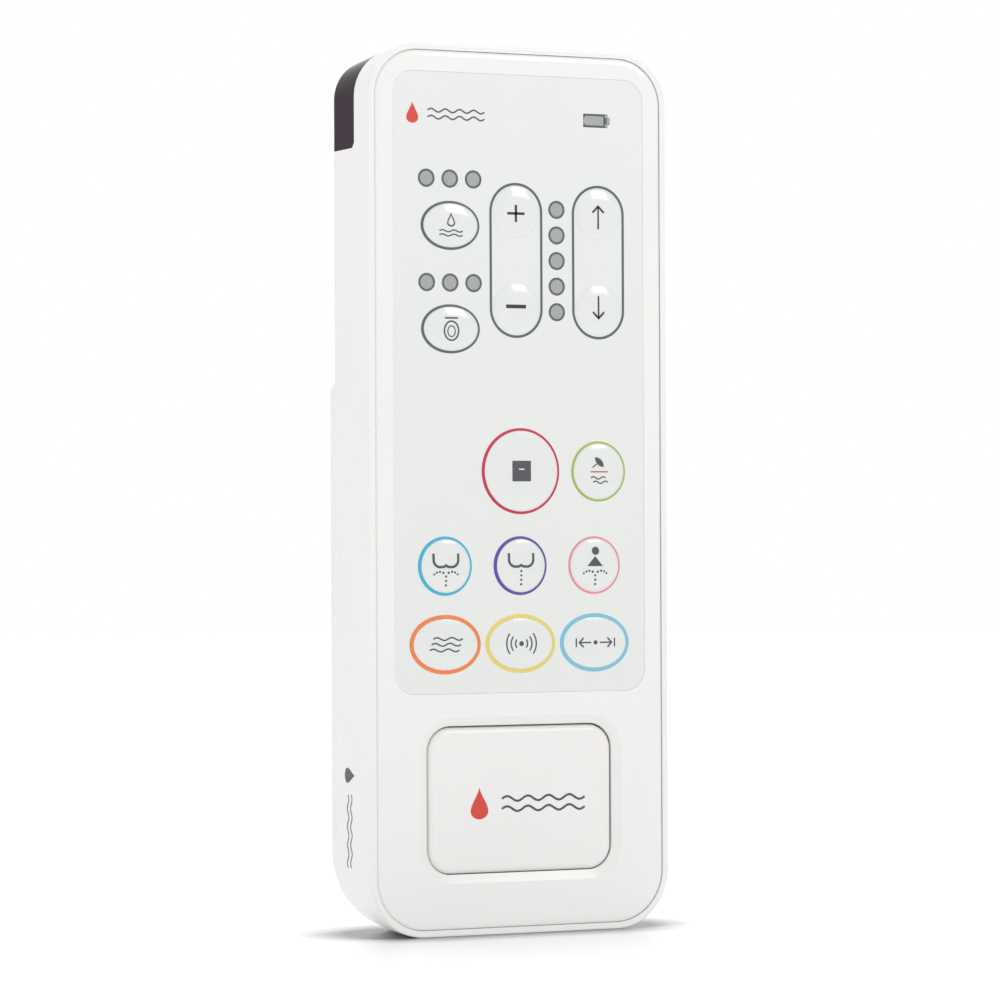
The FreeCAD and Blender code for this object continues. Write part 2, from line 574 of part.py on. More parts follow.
def screw(shank, head, tip, seat, head_thick, x, z):
    """Pan-head screw driven from the back, with a cross recess."""
    body = disc(shank, x, z, tip, seat + head_thick / 2)
    cap = disc(head, x, z, seat, seat + head_thick)
    cap = cap.makeFillet(head_thick * 0.4, edges_at(cap, seat + head_thick))
    slot_front, slot_back = seat + head_thick * 0.4, seat + head_thick + 1
    length, breadth = 1.1 * head, 0.28 * head
    cross = fused([block(length, breadth, slot_front, slot_back, x, z - breadth / 2),
                   block(breadth, length, slot_front, slot_back, x, z - length / 2)])
    return fused([body, cap]).cut(cross)


def case_screws():
    return Part.makeCompound([screw(CASE_SHANK, CASE_HEAD, 5.0, WELL_FLOOR, 1.6, x, z)
                              for x, z in mirrored(CASE_SCREWS)])


def board_screws():
    return Part.makeCompound([screw(BOARD_SHANK, BOARD_HEAD, 3.2, BOARD_BACK, 1.0, x, z)
                              for x, z in mirrored(BOARD_SCREWS)])


def main():
    os.makedirs("parts", exist_ok=True)
    parts = {
        "front_cover": front_cover(),
        "rear_shell": rear_shell(),
        "label": label(),
        "infrared_window": infrared_window(),
        "panel_key": panel_key(),
        "panel_pad": panel_pad(),
        "water_lamps": light_guides(row_lamps(WATER_LAMPS_Z)),
        "seat_lamps": light_guides(row_lamps(SEAT_LAMPS_Z)),
        "level_lamps": light_guides(level_lamps()),
        "battery_lamp": battery_lamp(),
        "key_mat": key_mat(),
        "contact_pads": contact_pads(),
        "main_board": main_board(),
        "board_leds": board_leds(),
        "infrared_emitters": infrared_emitters(),
        "controller_chip": controller_chip(),
        "crystal": crystal(),
        "capacitor": capacitor(),
        "emitter_driver": emitter_driver(),
        "battery_left": battery(-CELL_X, False),
        "battery_right": battery(CELL_X, True),
        "contact_plates": contact_plates(),
        "contact_springs": contact_springs(),
        "battery_door": battery_door(),
        "case_screws": case_screws(),
        "board_screws": board_screws(),
    }
    parts.update({name: key_cap(name) for name in KEYS})
    for name, shape in parts.items():
        save(name, shape)


main()
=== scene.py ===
"""Looks of a bidet seat's hand-held remote control, built around its CAD frame.

Everything is in metres in the CAD frame: +X right, +Y from the key face to the back, +Z up.
"""
import math

import bmesh
import bpy
from bpy.props import FloatProperty, FloatVectorProperty, IntProperty, PointerProperty
from mathutils import Matrix, Vector


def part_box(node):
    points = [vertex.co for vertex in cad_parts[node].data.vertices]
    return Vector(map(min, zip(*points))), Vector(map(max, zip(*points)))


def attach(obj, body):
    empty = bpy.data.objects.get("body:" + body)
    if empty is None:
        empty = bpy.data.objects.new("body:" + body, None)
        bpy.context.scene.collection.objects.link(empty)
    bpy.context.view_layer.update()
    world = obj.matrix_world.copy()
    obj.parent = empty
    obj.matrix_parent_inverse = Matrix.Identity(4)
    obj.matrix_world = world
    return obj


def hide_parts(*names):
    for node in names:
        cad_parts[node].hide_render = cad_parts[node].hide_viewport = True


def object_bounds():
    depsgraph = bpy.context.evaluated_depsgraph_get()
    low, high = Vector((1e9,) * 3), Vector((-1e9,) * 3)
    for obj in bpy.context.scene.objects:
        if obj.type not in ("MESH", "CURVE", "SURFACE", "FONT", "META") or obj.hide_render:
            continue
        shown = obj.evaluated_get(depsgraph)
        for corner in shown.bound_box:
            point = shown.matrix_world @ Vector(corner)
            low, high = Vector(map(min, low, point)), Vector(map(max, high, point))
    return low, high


bl_info = {
    "name": "Bidet Remote Looks",
    "version": (1, 0, 0),
    "blender": (4, 5, 0),
    "location": "View3D > Sidebar > Remote",
    "description": "Key domes, printed rings and symbols, finishes and studio of a bidet seat's remote",
    "category": "Object",
}

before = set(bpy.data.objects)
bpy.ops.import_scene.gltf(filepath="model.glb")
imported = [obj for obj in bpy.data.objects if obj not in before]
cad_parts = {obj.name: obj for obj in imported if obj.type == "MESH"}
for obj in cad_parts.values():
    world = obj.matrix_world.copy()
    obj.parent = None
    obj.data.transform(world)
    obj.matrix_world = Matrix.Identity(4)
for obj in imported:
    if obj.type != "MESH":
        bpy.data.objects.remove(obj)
CAD_LOW, CAD_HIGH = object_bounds()
MM = 0.001

FACE_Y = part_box("front_cover")[0].y
LABEL_LOW, LABEL_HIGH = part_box("label")
LABEL_FRONT = LABEL_LOW.y
PANEL_LOW, PANEL_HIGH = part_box("panel_key")
KEY_NODES = sorted(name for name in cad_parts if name.endswith("_key") and name != "panel_key")


# ---- settings ---------------------------------------------------------------
def length(label, text, default):
    return FloatProperty(name=label, description=text, default=default, unit="LENGTH", precision=5)


def number(label, text, default):
    return FloatProperty(name=label, description=text, default=default)


def shade(label, text, default):
    return FloatVectorProperty(name=label, description=text, default=default, subtype="COLOR_GAMMA",
                               size=3, min=0.0, max=1.0)


class RemoteSizes(bpy.types.PropertyGroup):
    """Sizes of the key domes and of the print."""
    flange_lip: length("Flange lip", "How far a key's hidden flange stands out beyond its edge", 0.9 * MM)
    flange_thickness: length("Flange thickness", "Thickness of a key's hidden flange", 0.8 * MM)
    flat_share: FloatProperty(name="Flat share", description="Share of a dome that is its flat crown",
                              default=0.4, min=0.0, max=0.9)
    collar_rise: length("Collar rise", "How far the embossed collar lifts the label at a key's edge",
                        0.15 * MM)
    collar_width: length("Collar width", "Width of the collar round a key with a printed ring", 0.95 * MM)
    pair_collar_width: length("Pair collar width", "Width of the collar round a key of a pair", 0.34 * MM)
    ring_offset: length("Ring offset", "From a key's edge to the middle of its printed ring", 0.45 * MM)
    ink: length("Ink", "How far the print stands proud of what it is printed on", 0.03 * MM)
    pill_line: length("Pill line", "Width of the outline round a pair of keys", 0.52 * MM)
    pill_half_width: length("Pill half width", "Half width of that outline at its middle line", 5.74 * MM)
    lamp_radius: length("Lamp radius", "Outer radius of the ring round a lamp", 1.86 * MM)
    lamp_line: length("Lamp line", "Width of the ring round a lamp", 0.44 * MM)
    loop_points: IntProperty(name="Loop points", description="Points round a key or ring", default=96, min=24)


class RemoteColours(bpy.types.PropertyGroup):
    """Colours of the finishes and inks, as they look on a screen."""
    white: number("White", "Share of the light that a screen-white surface sends back", 0.84)
    case: shade("Case", "Glossy white case", (0.965, 0.962, 0.955))
    panel: shade("Large key", "Large lower key", (0.965, 0.958, 0.950))
    label: shade("Label", "Printed label", (0.925, 0.933, 0.922))
    key: shade("Key", "Domed key caps", (0.915, 0.927, 0.918))
    window: shade("Window", "Infrared window", (0.15, 0.06, 0.13))
    lamp: shade("Lamp", "Unlit light guides", (0.66, 0.667, 0.655))
    slate: shade("Slate", "Ink of plain rings and outlines", (0.36, 0.375, 0.42))
    symbol: shade("Symbol", "Ink of the grey symbols", (0.31, 0.32, 0.34))
    mark: shade("Mark", "Ink of the plus, minus and arrow marks", (0.22, 0.17, 0.18))
    crimson: shade("Crimson", "Ring of the stop key", (0.78, 0.15, 0.27))
    olive: shade("Olive", "Ring of the eco key", (0.655, 0.725, 0.31))
    cyan: shade("Cyan", "Ring of the wash key", (0.25, 0.70, 0.84))
    violet: shade("Violet", "Ring of the rear wash key", (0.36, 0.29, 0.65))
    pink: shade("Pink", "Ring of the front wash key", (0.93, 0.56, 0.61))
    orange: shade("Orange", "Ring of the air dry key", (0.95, 0.52, 0.26))
    yellow: shade("Yellow", "Ring of the massage key", (0.92, 0.84, 0.44))
    sky: shade("Sky", "Ring of the oscillate key", (0.50, 0.77, 0.86))
    drop: shade("Drop", "Plain water drop mark", (0.86, 0.27, 0.22))


class RemoteStudio(bpy.types.PropertyGroup):
    """Camera and lights."""
    turn: FloatProperty(name="Turn", description="Camera's turn to the object's left", subtype="ANGLE",
                        default=math.radians(25.566))
    rise: FloatProperty(name="Rise", description="How far the camera looks up", subtype="ANGLE",
                        default=math.radians(0.575))
    roll: FloatProperty(name="Roll", description="Camera's roll", subtype="ANGLE",
                        default=math.radians(-0.255))
    distance: length("Distance", "Camera to aim point", 872.9 * MM)
    aim_x: length("Aim X", "Aim point, to the right of the middle", -4.7 * MM)
    aim_z: length("Aim Z", "Aim point above the floor", 88.4 * MM)
    lens: number("Lens", "Focal length in millimetres", 154.2)
    floor_white: number("Floor", "Share of light the floor gives back", 0.95)
    horizon: number("Horizon", "Brightness of the surround at eye level", 1.0)
    overhead: number("Overhead", "Brightness of the surround overhead", 0.9)
    top_light: number("Top light", "Strength of the soft light from above", 0.8)
    softbox: number("Softbox", "Power of the softbox, in watts", 0.75)
    strip: number("Strip", "Power of the side strip, in watts", 0.5)


class RemoteLooks(bpy.types.PropertyGroup):
    """All of the remote's settings."""
    sizes: PointerProperty(type=RemoteSizes)
    colours: PointerProperty(type=RemoteColours)
    studio: PointerProperty(type=RemoteStudio)


def looks():
    return bpy.context.scene.remote_looks


# ---- materials ----------------------------------------------------------------
def linear(colour, gain=1.0):
    """Screen colour to the linear colour that a shader takes."""
    tones = [c / 12.92 if c <= 0.04045 else ((c + 0.055) / 1.055) ** 2.4 for c in colour]
    return (*[min(1.0, tone * gain * looks().colours.white) for tone in tones], 1.0)


class Finish:
    """A material that is built up from noise, bumps and bands on one shader."""

    def __init__(self, name, colour, roughness=0.4, metallic=0.0, coat=0.0, coat_roughness=0.05, glow=0.0):
        self.material = bpy.data.materials.new(name)
        self.material.use_nodes = True
        self.tree = self.material.node_tree
        self.tree.nodes.clear()
        output = self.tree.nodes.new("ShaderNodeOutputMaterial")
        self.shader = self.tree.nodes.new("ShaderNodeBsdfPrincipled")
        self.tree.links.new(self.shader.outputs["BSDF"], output.inputs["Surface"])
        self.place = self.tree.nodes.new("ShaderNodeTexCoord").outputs["Object"]
        self.colour = colour
        self.normal = None
        sockets = self.shader.inputs
        sockets["Base Color"].default_value = linear(colour)
        sockets["Roughness"].default_value = roughness
        sockets["Metallic"].default_value = metallic
        sockets["Coat Weight"].default_value = coat
        sockets["Coat Roughness"].default_value = coat_roughness
        sockets["Subsurface Weight"].default_value = glow
        sockets["Subsurface Radius"].default_value = (1.0 * MM, 0.9 * MM, 0.8 * MM)

    def link(self, source, target):
        self.tree.links.new(source, target)

    def noise(self, size, detail=3.0, stretch=(1.0, 1.0, 1.0)):
        """Noise whose patches are about size metres across."""
        mapping = self.tree.nodes.new("ShaderNodeMapping")
        mapping.inputs["Scale"].default_value = stretch
        texture = self.tree.nodes.new("ShaderNodeTexNoise")
        texture.inputs["Scale"].default_value = 1.0 / size
        texture.inputs["Detail"].default_value = detail
        self.link(self.place, mapping.inputs["Vector"])
        self.link(mapping.outputs["Vector"], texture.inputs["Vector"])
        return texture.outputs["Fac"]

    def between(self, source, low, high):
        """Source's middle range spread from low to high."""
        spread = self.tree.nodes.new("ShaderNodeMapRange")
        spread.inputs["From Min"].default_value = 0.3
        spread.inputs["From Max"].default_value = 0.7
        spread.inputs["To Min"].default_value = low
        spread.inputs["To Max"].default_value = high
        self.link(source, spread.inputs["Value"])
        return spread.outputs["Result"]

    def mottle(self, size, amount, detail=4.0):
        """Slightly lighter and darker patches in the colour."""
        ramp = self.tree.nodes.new("ShaderNodeValToRGB")
        ramp.color_ramp.elements[0].position = 0.3
        ramp.color_ramp.elements[0].color = linear(self.colour, 1.0 - amount)
        ramp.color_ramp.elements[1].position = 0.7
        ramp.color_ramp.elements[1].color = linear(self.colour, 1.0 + amount)
        self.link(self.noise(size, detail), ramp.inputs["Fac"])
        self.link(ramp.outputs["Color"], self.shader.inputs["Base Color"])
        return self

    def smudge(self, size, low, high):
        """Patches of lower and higher roughness."""
        self.link(self.between(self.noise(size), low, high), self.shader.inputs["Roughness"])
        return self

    def bump(self, source, height, strength=1.0):
        """Raise the surface by source times height, over any earlier bump."""
        node = self.tree.nodes.new("ShaderNodeBump")
        node.inputs["Distance"].default_value = height
        node.inputs["Strength"].default_value = strength
        self.link(source, node.inputs["Height"])
        if self.normal:
            self.link(self.normal, node.inputs["Normal"])
        self.normal = node.outputs["Normal"]
        self.link(self.normal, self.shader.inputs["Normal"])
        return self

    def grain(self, size, height, strength=1.0, stretch=(1.0, 1.0, 1.0)):
        return self.bump(self.noise(size, 2.0, stretch), height, strength)


def gloss_plastic(name, colour, roughness, size):
    """Moulded plastic with a faint flow mottle, handling smudges and orange peel."""
    finish = Finish(name, colour, roughness, coat=0.25, coat_roughness=0.04, glow=0.05)
    finish.mottle(22 * MM, 0.008).smudge(9 * MM, roughness - 0.05, roughness + 0.07)
    return finish.grain(size, 0.004 * MM, 0.5).grain(0.12 * MM, 0.001 * MM, 0.35).material


def label_film(name, colour):
    """Satin printed film with a fine even tooth."""
    finish = Finish(name, colour, 0.36, coat=0.15, coat_roughness=0.2)
    finish.mottle(15 * MM, 0.006).smudge(6 * MM, 0.33, 0.42)
    return finish.grain(0.18 * MM, 0.0015 * MM, 0.45).material


def domed_film(name, colour):
    """Clear-coated key cap over the label's colour."""
    finish = Finish(name, colour, 0.22, coat=0.8, coat_roughness=0.03, glow=0.06)
    return finish.mottle(4 * MM, 0.006).smudge(3 * MM, 0.17, 0.27).grain(1.6 * MM, 0.003 * MM, 0.4).material


def printed_ink(name, colour):
    """Screen-printed ink, a little uneven in tone."""
    finish = Finish(name, colour, 0.42)
    return finish.mottle(0.7 * MM, 0.05).smudge(0.5 * MM, 0.36, 0.5).grain(0.1 * MM, 0.002 * MM, 0.4).material


def dark_window(name, colour):
    """Polished dark acrylic that passes only infrared light."""
    finish = Finish(name, colour, 0.08)
    finish.shader.inputs["IOR"].default_value = 1.15
    return finish.mottle(5 * MM, 0.12).smudge(4 * MM, 0.05, 0.13).grain(2.5 * MM, 0.002 * MM, 0.4).material


def rubber(name, colour):
    finish = Finish(name, colour, 0.75)
    return finish.mottle(3 * MM, 0.06).smudge(2 * MM, 0.68, 0.85).grain(0.2 * MM, 0.01 * MM, 0.5).material


def moulded_black(name, colour):
    """Epoxy of a chip or a sleeve."""
    finish = Finish(name, colour, 0.55)
    return finish.mottle(1 * MM, 0.15).smudge(1 * MM, 0.48, 0.62).grain(0.08 * MM, 0.006 * MM, 0.5).material


def bright_metal(name, colour, roughness, lay):
    """Metal with a fine lay stretched along one axis and slight tarnish."""
    finish = Finish(name, colour, roughness, metallic=1.0)
    finish.mottle(1.5 * MM, 0.08).smudge(1.2 * MM, roughness - 0.08, roughness + 0.1)
    return finish.grain(0.15 * MM, 0.003 * MM, 0.5, lay).material


def circuit_board(name, colour):
    """Green solder mask over a grid of copper tracks."""
    finish = Finish(name, colour, 0.35, coat=0.3)
    tracks = finish.tree.nodes.new("ShaderNodeTexBrick")
    tracks.inputs["Scale"].default_value = 1.0 / (6 * MM)
    tracks.inputs["Mortar Size"].default_value = 0.05
    tracks.inputs["Color1"].default_value = linear(colour)
    tracks.inputs["Color2"].default_value = linear(colour, 0.8)
    tracks.inputs["Mortar"].default_value = linear(colour, 2.2)
    turn = finish.tree.nodes.new("ShaderNodeMapping")
    turn.inputs["Rotation"].default_value = (math.radians(90), 0, 0)
    finish.link(finish.place, turn.inputs["Vector"])
    finish.link(turn.outputs["Vector"], tracks.inputs["Vector"])
    finish.link(tracks.outputs["Color"], finish.shader.inputs["Base Color"])
    return finish.bump(tracks.outputs["Fac"], 0.02 * MM, 0.5).smudge(3 * MM, 0.3, 0.42).material


def cell_jacket(name, node, nub_up):
    """Printed battery jacket: steel ends, a dark body and a warm band at the positive end."""
    low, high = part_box(node)
    steel, body, stripe, warm = (0.75, 0.75, 0.74), (0.1, 0.2, 0.42), (0.92, 0.92, 0.9), (0.8, 0.5, 0.2)
    bands = [(0.0, steel), (0.012, body), (0.70, stripe), (0.72, warm), (0.965, steel)]
    finish = Finish(name, body, 0.3, coat=0.4)
    split = finish.tree.nodes.new("ShaderNodeSeparateXYZ")
    along = finish.tree.nodes.new("ShaderNodeMapRange")
    along.inputs["From Min"].default_value = low.z if nub_up else high.z
    along.inputs["From Max"].default_value = high.z if nub_up else low.z
    finish.link(finish.place, split.inputs["Vector"])
    finish.link(split.outputs["Z"], along.inputs["Value"])
    rings = finish.tree.nodes.new("ShaderNodeValToRGB")
    ramp = rings.color_ramp
    ramp.interpolation = "CONSTANT"
    ramp.elements.remove(ramp.elements[1])
    ramp.elements[0].color = linear(steel)
    for position, colour in bands[1:]:
        ramp.elements.new(position).color = linear(colour)
    finish.link(along.outputs["Result"], rings.inputs["Fac"])
    finish.link(rings.outputs["Color"], finish.shader.inputs["Base Color"])
    return finish.smudge(4 * MM, 0.24, 0.38).grain(0.3 * MM, 0.003 * MM, 0.4).material


def finish_nodes(material, *names):
    """Give CAD sub-parts a material."""
    for name in names:
        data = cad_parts[name].data
        data.materials.clear()
        data.materials.append(material)


# ---- mesh helpers -----------------------------------------------------------------
def ellipse(half_width, half_height, count, x=0.0, z=0.0):
    """Points of an ellipse, from its right end upwards."""
    steps = [2 * math.pi * i / count for i in range(count)]
    return [(x + half_width * math.cos(a), z + half_height * math.sin(a)) for a in steps]


def stadium(half_width, half_height, count):
    """Upright shape with round ends, as many points as an ellipse of the same count."""
    straight = half_height - half_width
    return [(x, z + math.copysign(straight, z if abs(z) > 1e-9 else 1.0))
            for x, z in ellipse(half_width, half_width, count)]


def join_loops(mesh, loops, closed_tube=False):
    """Quads between loops of (x, y, z) points that have the same number of points."""
    rows = [[mesh.verts.new(point) for point in loop] for loop in loops]
    pairs = list(zip(rows, rows[1:])) + ([(rows[-1], rows[0])] if closed_tube else [])
    for first, second in pairs:
        for i in range(len(first)):
            j = (i + 1) % len(first)
            mesh.faces.new((first[i], first[j], second[j], second[i]))
    return rows


def close_with_fan(mesh, row, centre):
    tip = mesh.verts.new(centre)
    for i in range(len(row)):
        mesh.faces.new((row[i], row[(i + 1) % len(row)], tip))


def make_piece(name, mesh, material, body, sharp=35.0):
    """Turn a bmesh into a shown piece that rides on a body."""
    bmesh.ops.recalc_face_normals(mesh, faces=mesh.faces)
    data = bpy.data.meshes.new(name)
    mesh.to_mesh(data)
    mesh.free()
    data.materials.append(material)
    for polygon in data.polygons:
        polygon.use_smooth = True
    data.set_sharp_from_angle(angle=math.radians(sharp))
    piece = bpy.data.objects.new(name, data)
    bpy.context.scene.collection.objects.link(piece)
    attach(piece, body)
    return piece


class Pen:
    """Draws thin solid print into one mesh. Points are (x, z) in metres about the print's centre."""

    def __init__(self):
        self.mesh = bmesh.new()
        self.front = -looks().sizes.ink
        self.back = 0.02 * MM

    def band(self, outer, inner):
        """Closed strip between two loops."""
        loops = [[(x, y, z) for x, z in edge] for edge, y in
                 ((outer, self.back), (outer, self.front), (inner, self.front), (inner, self.back))]
        join_loops(self.mesh, loops, closed_tube=True)

    def area(self, points):
        """Filled outline."""
        front, back = ([self.mesh.verts.new((x, y, z)) for x, z in points] for y in (self.front, self.back))
        self.mesh.faces.new(front)
        self.mesh.faces.new(back[::-1])
        for i in range(len(points)):
            j = (i + 1) % len(points)
            self.mesh.faces.new((front[j], front[i], back[i], back[j]))

    def dot(self, x, z, radius):
        self.area(ellipse(radius, radius, 20, x, z))

    def bar(self, x, z, width, height):
        if width > height:
            self.line([(x - width / 2, z), (x + width / 2, z)], height)
        else:
            self.line([(x, z - height / 2), (x, z + height / 2)], width)

    def line(self, points, width):
        """Line of even width with square ends and mitred corners, in steps short enough to follow a dome."""
        path = [Vector(points[0])]
        for point in points[1:]:
            start, end = path[-1].copy(), Vector(point)
            steps = max(1, round((end - start).length / (0.5 * MM)))
            path += [start.lerp(end, (i + 1) / steps) for i in range(steps)]
        directions = [(b - a).normalized() for a, b in zip(path, path[1:])]
        rows = []
        for i, point in enumerate(path):
            before, after = directions[max(0, i - 1)], directions[min(i, len(directions) - 1)]
            across = (before + after).normalized().orthogonal()
            reach = width / 2 / max(0.3, abs(across.dot(after.orthogonal())))
            left, right = point + across * reach, point - across * reach
            rows.append([(left.x, self.front, left.y), (right.x, self.front, right.y),
                         (right.x, self.back, right.y), (left.x, self.back, left.y)])
        made = join_loops(self.mesh, rows)
        self.mesh.faces.new(made[0])
        self.mesh.faces.new(made[-1][::-1])

    def finish(self, name, lay, material, body, slot):
        """Move each point to where lay(x, depth, z) puts it, and make the print a piece."""
        for vertex in self.mesh.verts:
            vertex.co = lay(*vertex.co)
        return make_piece(name, self.mesh, material, body)


def facing(centre, surface):
    """Lay print on a forward-facing surface whose depth is surface(x, z)."""
    return lambda x, depth, z: (centre.x + x, surface(x, z) + depth, centre.z + z)


def down_left_side(centre):
    """Lay print on the case's left side so that it reads downwards."""
    return lambda x, depth, z: (CAD_LOW.x + depth, centre.y - z, centre.z - x)


def on_label(_x, _z):
    return LABEL_FRONT


# ---- keys -----------------------------------------------------------------------------
# how far out from the middle each loop of a dome lies, closer together where the dome falls away
DOME_STEPS = (0.2, 0.4, 0.48, 0.56, 0.63, 0.7, 0.76, 0.81, 0.86, 0.9, 0.935, 0.965, 0.985, 1.0)
# how far across the collar each of its loops lies, from the key's edge outwards
COLLAR_STEPS = (0.02, 0.1, 0.22, 0.36, 0.5, 0.66, 0.82, 1.0)


class Cap:
    """The shape of one domed key, read from its CAD sub-part."""

    def __init__(self, node):
        sizes = looks().sizes
        low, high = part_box(node)
        self.node = node
        self.centre = (low + high) / 2
        self.half_width = (high.x - low.x) / 2 - sizes.flange_lip
        self.half_height = (high.z - low.z) / 2 - sizes.flange_lip
        self.crown = low.y
        self.edge = LABEL_FRONT - sizes.collar_rise
        self.back = high.y
        self.collar_width = sizes.collar_width if node in KEY_RINGS else sizes.pair_collar_width

    def front(self, x, z):
        """Depth of the dome at a place measured from the key's centre."""
        flat = looks().sizes.flat_share
        reach = min(1.0, math.hypot(x / self.half_width, z / self.half_height))
        fall = max(0.0, reach - flat) / (1.0 - flat)
        return self.crown + (self.edge - self.crown) * fall ** 2

    def collar_front(self, x, z):
        """Depth of the embossed collar at a place outside the key."""
        reach = math.hypot(x / self.half_width, z / self.half_height)
        beyond = math.hypot(x, z) * (1.0 - 1.0 / reach)
        share = min(1.0, max(0.0, 1.0 - beyond / self.collar_width))
        return LABEL_FRONT - looks().sizes.collar_rise * share ** 1.5

    def loop(self, scale, y, lip=0.0):
        points = ellipse(self.half_width * scale + lip, self.half_height * scale + lip,
                         looks().sizes.loop_points, self.centre.x, self.centre.z)
        return [(x, y, z) for x, z in points]


def build_cap(node, material):
    """Dome, stem and hidden flange of one key."""
    sizes = looks().sizes
    cap = Cap(node)
    loops = [cap.loop(step, cap.front(step * cap.half_width, 0.0)) for step in DOME_STEPS]
    flange_front = cap.back - sizes.flange_thickness
    loops += [cap.loop(1.0, flange_front), cap.loop(1.0, flange_front, sizes.flange_lip),
              cap.loop(1.0, cap.back, sizes.flange_lip)]
    mesh = bmesh.new()
    rows = join_loops(mesh, loops)
    close_with_fan(mesh, rows[0][::-1], (cap.centre.x, cap.crown, cap.centre.z))
    close_with_fan(mesh, rows[-1], (cap.centre.x, cap.back, cap.centre.z))
    piece = make_piece(node.replace("_key", "_cap"), mesh, material, node, 50.0)
    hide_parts(node)


def build_collars(material):
    """The film that is embossed up to the edge of every key."""
    count = looks().sizes.loop_points
    mesh = bmesh.new()
    for node in KEY_NODES:
        cap = Cap(node)
        loops = []
        for share in COLLAR_STEPS:
            beyond = share * cap.collar_width
            ring = ellipse(cap.half_width + beyond, cap.half_height + beyond, count)
            loops.append([(cap.centre.x + x, cap.collar_front(x, z), cap.centre.z + z) for x, z in ring])
        inside = [(x, LABEL_FRONT + 0.3 * MM, z) for x, _, z in loops[0]]
        outside = [(x, LABEL_FRONT + 0.02 * MM, z) for x, _, z in loops[-1]]
        join_loops(mesh, [inside, *loops, outside], closed_tube=True)
    make_piece("key_collars", mesh, material, "case", 60.0)


class REMOTE_OT_key_caps(bpy.types.Operator):
    """Build the fourteen domed keys and the embossed collars round them"""
    bl_idname = "remote.key_caps"
    bl_label = "Key Caps"

    def execute(self, context):
        material = domed_film("key_dome_film", looks().colours.key)
        for node in KEY_NODES:
            build_cap(node, material)
        build_collars(label_film("collar_satin_film", looks().colours.label))
        return {"FINISHED"}


# name: ring colour, line width and how much heavier the left side is, both in millimetres
KEY_RINGS = {
    "water_key": ("slate", 0.52, 0.06),
    "seat_key": ("slate", 0.52, 0.06),
    "stop_key": ("crimson", 0.55, 0.08),
    "eco_key": ("olive", 0.44, 0.05),
    "wash_key": ("cyan", 0.58, 0.14),
    "rear_wash_key": ("violet", 0.58, 0.14),
    "front_wash_key": ("pink", 0.42, 0.04),
    "air_dry_key": ("orange", 0.82, 0.04),
    "massage_key": ("yellow", 0.78, 0.04),
    "oscillate_key": ("sky", 0.78, 0.04),
}


class REMOTE_OT_key_rings(bpy.types.Operator):
    """Print the coloured rings round the keys and the outlines round the key pairs"""
    bl_idname = "remote.key_rings"
    bl_label = "Key Rings"

    def execute(self, context):
        sizes, colours = looks().sizes, looks().colours
        inks = {ink: printed_ink(f"{ink}_ink", getattr(colours, ink))
                for ink in sorted({ring[0] for ring in KEY_RINGS.values()})}
        for node, (ink, width, lean) in KEY_RINGS.items():
            cap = Cap(node)
            far = sizes.ring_offset + width * MM / 2
            near = sizes.ring_offset - width * MM / 2
            pen = Pen()
            pen.band(ellipse(cap.half_width + far, cap.half_height + far, sizes.loop_points),
                     ellipse(cap.half_width + near, cap.half_height + near, sizes.loop_points, lean * MM))
            pen.finish(node.replace("_key", "_ring"), facing(cap.centre, cap.collar_front), inks[ink], "case",
                       "label_film")
        self.outline_pair("level_outline", "plus_key", "minus_key", inks["slate"])
        self.outline_pair("position_outline", "up_key", "down_key", inks["slate"])
        return {"FINISHED"}

    def outline_pair(self, name, upper, lower, ink):
        """Outline with round ends about an upper and a lower key."""
        sizes = looks().sizes
        top, bottom = Cap(upper), Cap(lower)
        half_width, half_line = sizes.pill_half_width, sizes.pill_line / 2
        half_height = (top.centre.z - bottom.centre.z) / 2 + half_width
        pen = Pen()
        pen.band(stadium(half_width + half_line, half_height + half_line, sizes.loop_points),
                 stadium(half_width - half_line, half_height - half_line, sizes.loop_points))
        pen.finish(name, facing((top.centre + bottom.centre) / 2, on_label), ink, "case", "label_film")


# ---- symbols on the keys ------------------------------------------------------------------
def wave(x0, x1, z, swing, turns, count=28):
    """Points of a level wavy line."""
    return [(x0 + (x1 - x0) * i / count, z + swing * math.sin(2 * math.pi * turns * i / count))
            for i in range(count + 1)]


def arc(x, z, radius, start, end, count=20):
    """Points of a circular arc between two angles in degrees."""
    steps = [math.radians(start + (end - start) * i / count) for i in range(count + 1)]
    return [(x + radius * math.cos(a), z + radius * math.sin(a)) for a in steps]


def drop_outline(x, z, radius, count=36):
    """Water drop: a round bottom that draws up to a point."""
    points = []
    for i in range(count):
        angle = 2 * math.pi * i / count - math.pi / 2
        rise = 0.5 + 0.5 * math.sin(angle)
        points.append((x + radius * math.cos(angle) * (1 - rise ** 2.2),
                       z + radius * (math.sin(angle) + 0.85 * rise ** 3)))
    return points


def arrow(pen, heading, height, spread, line):
    """Upright arrow with an open head, pointing up (1) or down (-1)."""
    tip = heading * height / 2
    pen.line([(0, -tip), (0, tip - heading * 0.25 * line)], line)
    pen.line([(-spread / 2, tip - heading * spread / 2), (0, tip), (spread / 2, tip - heading * spread / 2)],
             line * 1.15)


def plus_symbol(pen):
    pen.bar(0, 0, 3.9 * MM, 0.52 * MM)
    pen.bar(0, 0, 0.52 * MM, 3.5 * MM)


def minus_symbol(pen):
    pen.bar(0, 0, 4.5 * MM, 0.75 * MM)


def up_symbol(pen):
    arrow(pen, 1, 4.7 * MM, 2.6 * MM, 0.36 * MM)


def down_symbol(pen):
    arrow(pen, -1, 4.6 * MM, 2.6 * MM, 0.36 * MM)


def stop_symbol(pen):
    half, slot_half, slot_low, slot_high = 2.1 * MM, 0.62 * MM, 0.24 * MM, 0.52 * MM
    pen.band([(half, -half), (half, half), (-half, half), (-half, -half)],
             [(slot_half, slot_low), (slot_half, slot_high), (-slot_half, slot_high), (-slot_half, slot_low)])


